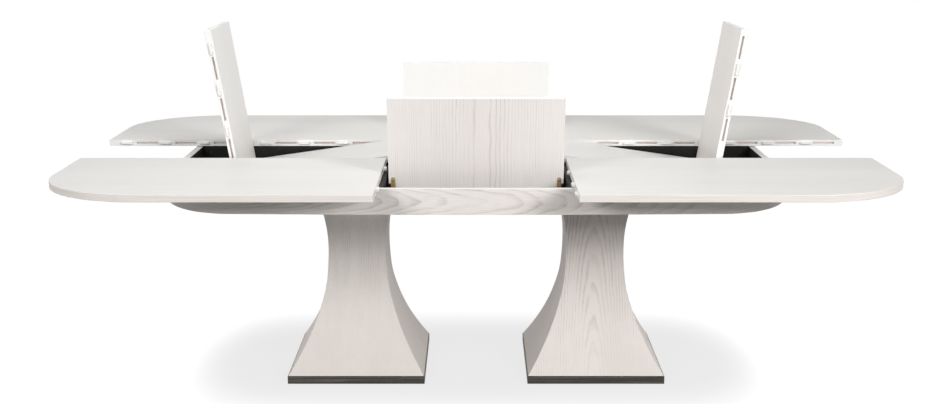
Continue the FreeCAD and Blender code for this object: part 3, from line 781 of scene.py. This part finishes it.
# %% [markdown]
# ## White tongues, felt and hidden wood
# The loose tongues that line up two edges are white moulded plastic with a faint sparkle texture.
# The pads that a lowered leaf rests on are grey felt, which is a fuzzy noise in both colour and
# bump. The posts inside the pedestals are plain softwood and only show from underneath.

# %% Mould the tongues
tongue_white, tongue_yellow = colour(0.90, 0.895, 0.885), colour(0.85, 0.84, 0.81)
tongue_edge = colour(0.94, 0.94, 0.93)
material, shader, place = start_finish("white_tongue")
speck = place.noise(900.0)
yellowing = place.noise(14.0, 3.0)
rounded, rim = rim_of(place, 0.0010)
shade = yellowing.between(0.3, 0.8).tint(tongue_white, tongue_yellow)
shade = (rim * 0.5).tint(shade, tongue_edge)
plug(shader, {"Base Color": shade, "Roughness": speck * 0.12 + rim * 0.1 + 0.38,
              "Normal": bump(speck, 0.10, 0.0002, rounded)})
tongues = [name for name in nodes if name.startswith("tongues_")]
paint(material, *tongues)
print("rows of tongues:", len(tongues))

# %% Press the felt
felt_dark, felt_pale = colour(0.16, 0.16, 0.165), colour(0.30, 0.30, 0.31)
felt_clump = colour(0.22, 0.21, 0.21)
material, shader, place = start_finish("grey_felt")
fuzz = place.noise(1500.0, 3.0, 0.7)
clump = place.noise(180.0)
shade = fuzz.between(0.3, 0.7).tint(felt_dark, felt_pale)
shade = (clump.between(0.4, 0.7) * 0.4).tint(shade, felt_clump)
plug(shader, {"Base Color": shade, "Roughness": fuzz * 0.1 + 0.85,
              "Normal": bump(fuzz + clump, 0.6, 0.0006)})
paint(material, "rest_pads")
print("felt on:", "rest_pads")

# %% Saw the posts
post_cut = {"depth": 0.020, "taper": 0.03, "wander": 0.03, "drift": 1.0, "spacing": 0.006,
            "tremble": 0.4, "start": 0.40, "crowding": 0.0}
post_tone = {"white": colour(0.62, 0.47, 0.30), "line": colour(0.42, 0.27, 0.15),
             "pore": colour(0.34, 0.22, 0.12), "bare": colour(0.55, 0.40, 0.25),
             "lines": 0.6, "fibres": 0.3, "pores": 0.2, "cloud": 0.3}
post_heart, post_across = (0.4, 0, 0), (1, 0.3, 0)
post_worn = colour(0.66, 0.52, 0.36)
softwood = washed_board("post_softwood", (0, 0, 1), post_across, post_heart, post_cut, post_tone,
                        post_worn)
paint(softwood, "posts", "caps")
print("hidden wood:", ["posts", "caps"])

# %% [markdown]
# ## Cross-headed screws
# The lining and the hinges are held by round-headed screws. In CAD each head is a plain disc. Here
# a Geometry Nodes tree makes one head, a dome trimmed at its rim and cut by two crossed bars, and
# sets a copy on every point of a small mesh. Each point knows which way its screw looks, and a
# seeded turn keeps the crosses from lining up, as on a real table. Heads made by hand would need a
# new mesh for each size, and here the sizes are inputs of the tree.

# %% Helpers for a tree of fittings
def add(tree, kind, settings=(), sockets=()):
    """A new node with its settings, and its sockets linked or set."""
    made = tree.nodes.new(kind)
    for key, value in dict(settings).items():
        setattr(made, key, value)
    for key, value in dict(sockets).items():
        if isinstance(value, bpy.types.NodeSocket):
            tree.links.new(value, made.inputs[key])
        else:
            made.inputs[key].default_value = value
    return made


def start_tree(name, inputs, result):
    """A tree that takes seats, the named inputs and a finish; also returns what it is given."""
    tree = bpy.data.node_groups.new(name, "GeometryNodeTree")
    wanted = [("Seats", "Geometry", None), *inputs, ("Finish", "Material", None)]
    for label, kind, value in wanted:
        socket = tree.interface.new_socket(name=label, in_out="INPUT",
                                           socket_type="NodeSocket" + kind)
        if value is not None:
            socket.default_value = value
    tree.interface.new_socket(name=result, in_out="OUTPUT", socket_type="NodeSocketGeometry")
    print(name, "takes", [label for label, kind, value in wanted])
    return tree, add(tree, "NodeGroupInput").outputs


def seat_vector(tree, label):
    """A direction that each seat carries."""
    carried = add(tree, "GeometryNodeInputNamedAttribute", {"data_type": "FLOAT_VECTOR"},
                  {"Name": label})
    return carried.outputs["Attribute"]


def end_tree(tree, given, result, copies, smooth=False):
    """Sets the copies on the seats, makes them real and gives them their finish."""
    placed = add(tree, "GeometryNodeInstanceOnPoints", (), {"Points": given["Seats"], **copies})
    shape = add(tree, "GeometryNodeRealizeInstances", (), {"Geometry": placed.outputs["Instances"]})
    if smooth:
        shape = add(tree, "GeometryNodeSetShadeSmooth", (), {"Geometry": shape.outputs["Geometry"]})
    coated = add(tree, "GeometryNodeSetMaterial", (),
                 {"Geometry": shape.outputs["Geometry"], "Material": given["Finish"]})
    tree.links.new(coated.outputs["Geometry"], add(tree, "NodeGroupOutput").inputs[result])


print("tree helpers ready")

# %% Build the screw tree
def screw_tree():
    """A head is made with a radius and height of 1, and stretched to size on its seat."""
    facets, trim_radius = 24, 0.93
    bar_length, bar_depth, bar_level = 1.15, 0.9, 0.97
    tree, given = start_tree("cross_headed_screws", [("Head Radius", "Float", 0.004),
                                                     ("Head Height", "Float", 0.0025),
                                                     ("Cross Width", "Float", 0.22),
                                                     ("Turn Seed", "Int", 7)], "Screws")
    ball = add(tree, "GeometryNodeMeshUVSphere", (),
               {"Segments": facets, "Rings": facets // 2, "Radius": 1.0})
    trim = add(tree, "GeometryNodeMeshCylinder", (),
               {"Vertices": facets, "Radius": trim_radius, "Depth": 2.0})
    trim_up = add(tree, "GeometryNodeTransform", (),
                  {"Geometry": trim.outputs["Mesh"], "Translation": (0.0, 0.0, 1.0)})
    dome = add(tree, "GeometryNodeMeshBoolean", {"operation": "INTERSECT"})
    for part in (ball.outputs["Mesh"], trim_up.outputs["Geometry"]):
        tree.links.new(part, dome.inputs["Mesh 2"])
    bar_size = add(tree, "ShaderNodeCombineXYZ", (),
                   {0: bar_length, 1: given["Cross Width"], 2: bar_depth})
    bar = add(tree, "GeometryNodeMeshCube", (), {"Size": bar_size.outputs[0]})
    recess = add(tree, "GeometryNodeMeshBoolean", {"operation": "DIFFERENCE"},
                 {"Mesh 1": dome.outputs["Mesh"]})
    for quarter_turn in (0.0, math.pi / 2):
        laid = add(tree, "GeometryNodeTransform", (),
                   {"Geometry": bar.outputs["Mesh"], "Translation": (0.0, 0.0, bar_level),
                    "Rotation": (0.0, 0.0, quarter_turn)})
        tree.links.new(laid.outputs["Geometry"], recess.inputs["Mesh 2"])

    stand = add(tree, "FunctionNodeAlignRotationToVector", {"axis": "Z"},
                {"Vector": seat_vector(tree, "looks")})
    chance = add(tree, "FunctionNodeRandomValue", {"data_type": "FLOAT"},
                 {"Max": math.pi, "Seed": given["Turn Seed"]})
    spin = add(tree, "FunctionNodeAxisAngleToRotation", (),
               {"Axis": (0.0, 0.0, 1.0), "Angle": chance.outputs["Value"]})
    turned = add(tree, "FunctionNodeRotateRotation", {"rotation_space": "LOCAL"},
                 {"Rotation": stand.outputs["Rotation"], "Rotate By": spin.outputs["Rotation"]})
    size = add(tree, "ShaderNodeCombineXYZ", (),
               {0: given["Head Radius"], 1: given["Head Radius"], 2: given["Head Height"]})
    end_tree(tree, given, "Screws",
             {"Instance": recess.outputs["Mesh"], "Rotation": turned.outputs["Rotation"],
              "Scale": size.outputs[0]})
    return tree


screws = screw_tree()

# %% Set fittings on seats
def set_on(tree, name, seats, body, inputs):
    """seats lists (point, direction, run); the result is one plain mesh that rides on body."""
    mesh = bpy.data.meshes.new(name + "_seats")
    mesh.from_pydata([seat[0] for seat in seats], [], [])
    for column, label in ((1, "looks"), (2, "runs")):
        values = mesh.attributes.new(label, "FLOAT_VECTOR", "POINT").data
        for item, seat in zip(values, seats):
            item.vector = seat[column]
    holder = bpy.data.objects.new(name + "_seats", mesh)
    scene.collection.objects.link(holder)
    modifier = holder.modifiers.new("fittings", "NODES")
    modifier.node_group = tree
    for item in tree.interface.items_tree:
        if item.in_out == "INPUT" and item.name in inputs:
            modifier[item.identifier] = inputs[item.name]
    ready = holder.evaluated_get(bpy.context.evaluated_depsgraph_get())
    plain = bpy.data.meshes.new_from_object(ready)
    plain.name = name
    bpy.data.objects.remove(holder)
    piece = bpy.data.objects.new(name, plain)
    scene.collection.objects.link(piece)
    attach(piece, body)
    return piece


print("fittings become one plain mesh for each body")

# %% Find the screws in the CAD model
def islands(node):
    """Lowest and highest corner of each separate solid in a CAD node, in a fixed order."""
    mesh = bmesh.new()
    mesh.from_mesh(nodes[node].data)
    bmesh.ops.remove_doubles(mesh, verts=mesh.verts, dist=1e-5)
    mesh.verts.index_update()
    met = set()
    found = []
    for first in mesh.verts:
        if first.index in met:
            continue
        met.add(first.index)
        stack, group = [first], []
        while stack:
            vertex = stack.pop()
            group.append(vertex.co.copy())
            for edge in vertex.link_edges:
                other = edge.other_vert(vertex)
                if other.index not in met:
                    met.add(other.index)
                    stack.append(other)
        low = Vector([min(p[i] for p in group) for i in range(3)])
        high = Vector([max(p[i] for p in group) for i in range(3)])
        found.append((low, high))
    mesh.free()
    return sorted(found, key=lambda box: [round(value, 4) for value in box[0]])


upright_slack = 0.001
wall_seats = []
cap_seats = []
for low, high in islands("pan_screws"):
    middle = (low + high) / 2
    if high.z - low.z < high.x - low.x - upright_slack:
        cap_seats.append((Vector((middle.x, middle.y, low.z)), upright, upright))
    else:
        inward = Vector((0, -1 if middle.y > 0 else 1, 0))
        wall = high.y if middle.y > 0 else low.y
        wall_seats.append((Vector((middle.x, wall, middle.z)), inward, upright))
print("lining screws:", len(wall_seats), "cap screws:", len(cap_seats))

# %% Drive the screws of the lining
lining_screws = set_on(screws, "lining_screws", wall_seats, "base",
                       {"Head Radius": 0.0034, "Head Height": 0.0022, "Finish": blackened})
cap_screws = set_on(screws, "cap_screws", cap_seats, "base",
                    {"Head Radius": 0.0054, "Head Height": 0.0036, "Finish": steel})
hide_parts("pan_screws")
print("faces in both:", len(lining_screws.data.polygons) + len(cap_screws.data.polygons))

# %% Screw down the hinges
largest_head, head_sink = 0.012, 0.0004
for side, leaf in leaf_frames.items():
    under = leaf["under"]
    seats = []
    for low, high in islands("strap_outer_" + side):
        if (high - low).length < largest_head:
            seats.append(((low + high) / 2 - under * head_sink, under, leaf["along"]))
    set_on(screws, "hinge_screws_" + side, seats, "outer_" + side,
           {"Head Radius": 0.0038, "Head Height": 0.0018, "Finish": steel})
    print(side, "hinge screws:", len(seats))

# %% [markdown]
# ## Rubber buffers
# Beside each hinge a small black buffer keeps the folded halves from knocking. It is a moulded
# block with round corners. A cube with a Bevel modifier would do, but there are eight of them on
# four leaves, so a second tree rounds one block by subdivision and sets it at each corner, turned
# along its leaf.

# %% Build the buffer tree
def buffer_tree():
    """A block of the given size stands on its seat, with its corners rounded."""
    tree, given = start_tree("rubber_buffers", [("Length", "Float", 0.015),
                                                ("Width", "Float", 0.006),
                                                ("Height", "Float", 0.005),
                                                ("Corner Sharpness", "Float", 0.55)], "Buffers")
    block = add(tree, "GeometryNodeMeshCube", (), {"Size": (1.0, 1.0, 1.0), "Vertices X": 3})
    raised = add(tree, "GeometryNodeTransform", (),
                 {"Geometry": block.outputs["Mesh"], "Translation": (0.0, 0.0, 0.5)})
    size = add(tree, "ShaderNodeCombineXYZ", (),
               {0: given["Length"], 1: given["Width"], 2: given["Height"]})
    cut = add(tree, "GeometryNodeTransform", (),
              {"Geometry": raised.outputs["Geometry"], "Scale": size.outputs[0]})
    round_off = add(tree, "GeometryNodeSubdivisionSurface", (),
                    {"Mesh": cut.outputs["Geometry"], "Level": 3,
                     "Edge Crease": given["Corner Sharpness"]})
    stand = add(tree, "FunctionNodeAlignRotationToVector", {"axis": "Z"},
                {"Vector": seat_vector(tree, "looks")})
    turn = add(tree, "FunctionNodeAlignRotationToVector", {"axis": "X", "pivot_axis": "Z"},
               {"Rotation": stand.outputs["Rotation"], "Vector": seat_vector(tree, "runs")})
    end_tree(tree, given, "Buffers",
             {"Instance": round_off.outputs["Mesh"], "Rotation": turn.outputs["Rotation"]},
             smooth=True)
    return tree


buffers = buffer_tree()

# %% Mix the rubber
rubber_black, rubber_bloom = colour(0.012, 0.012, 0.012), colour(0.030, 0.029, 0.028)
rubber_edge = colour(0.07, 0.07, 0.07)
material, shader, place = start_finish("black_rubber")
speck = place.noise(1100.0)
bloom = place.noise(160.0, 3.0)
rounded, rim = rim_of(place)
shade = bloom.between(0.35, 0.7).tint(rubber_black, rubber_bloom)
shade = (rim * 0.4).tint(shade, rubber_edge)
plug(shader, {"Base Color": shade, "Roughness": bloom * 0.2 + speck * 0.1 + 0.5,
              "Normal": bump(speck, 0.15, 0.0003, rounded)})
print("rubber mixed:", material.name)

# %% Set a buffer beside each hinge
leaf_thickness, fold_depth = 0.022, 0.002
buffer_inset, buffer_run = 0.0035, 0.034
for side, leaf in leaf_frames.items():
    under = leaf["under"]
    seats = []
    for turn in (-1, 1):
        edge = leaf["fold"] + leaf["across"] * turn * (leaf["half"] - buffer_inset)
        corner = edge + leaf["along"] * buffer_run + under * (leaf_thickness - fold_depth)
        seats.append((corner, under, leaf["along"]))
    set_on(buffers, "buffers_" + side, seats, "outer_" + side,
           {"Length": 0.018, "Width": 0.006, "Height": 0.005, "Finish": material})
print("buffers:", 2 * len(leaf_frames))

# %% [markdown]
# ## Sizes
# The last cell prints how far each bound of the dressed table lies from that of the CAD model, so
# that we can see that nothing grew.

# %% Compare sizes and finish
visual_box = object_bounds()
pairs = [pair for cad, visual in zip(cad_box, visual_box) for pair in zip(cad, visual)]
print("grown by:", [round(abs(a - b), 4) for a, b in pairs])
